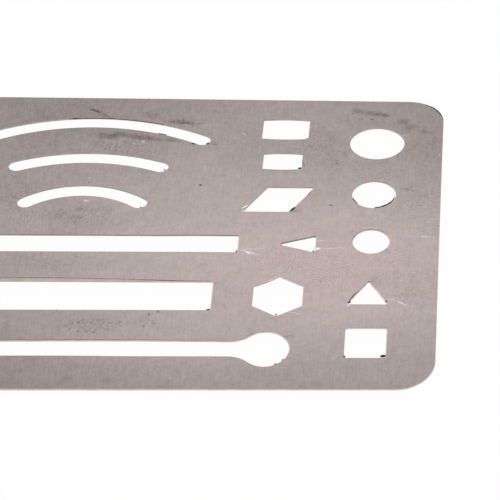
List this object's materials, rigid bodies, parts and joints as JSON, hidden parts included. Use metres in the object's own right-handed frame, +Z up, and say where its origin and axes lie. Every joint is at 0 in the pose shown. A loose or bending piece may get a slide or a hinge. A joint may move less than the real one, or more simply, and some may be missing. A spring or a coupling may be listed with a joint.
{
  "type": "erasing shield",
  "caption": "Thin steel sheet with rounded corners and cut-out slots, arcs and simple shapes, slightly curled, laid on a drawing to erase through one opening.",
  "frame": {"origin": "under the middle of the sheet, on the surface that it lies on", "axes": "+X along the long side towards the column of round openings, +Y across the sheet towards the nested arcs, +Z up, out of the bulging face of the curl"},
  "size_m": [0.0984, 0.06, 0.0022],
  "materials": {
    "steel": "fine vertical brushed grain, lightly scuffed and smudged"
  },
  "bodies": {
    "root": {"shield_plate": "steel"}
  },
  "joints": []
}
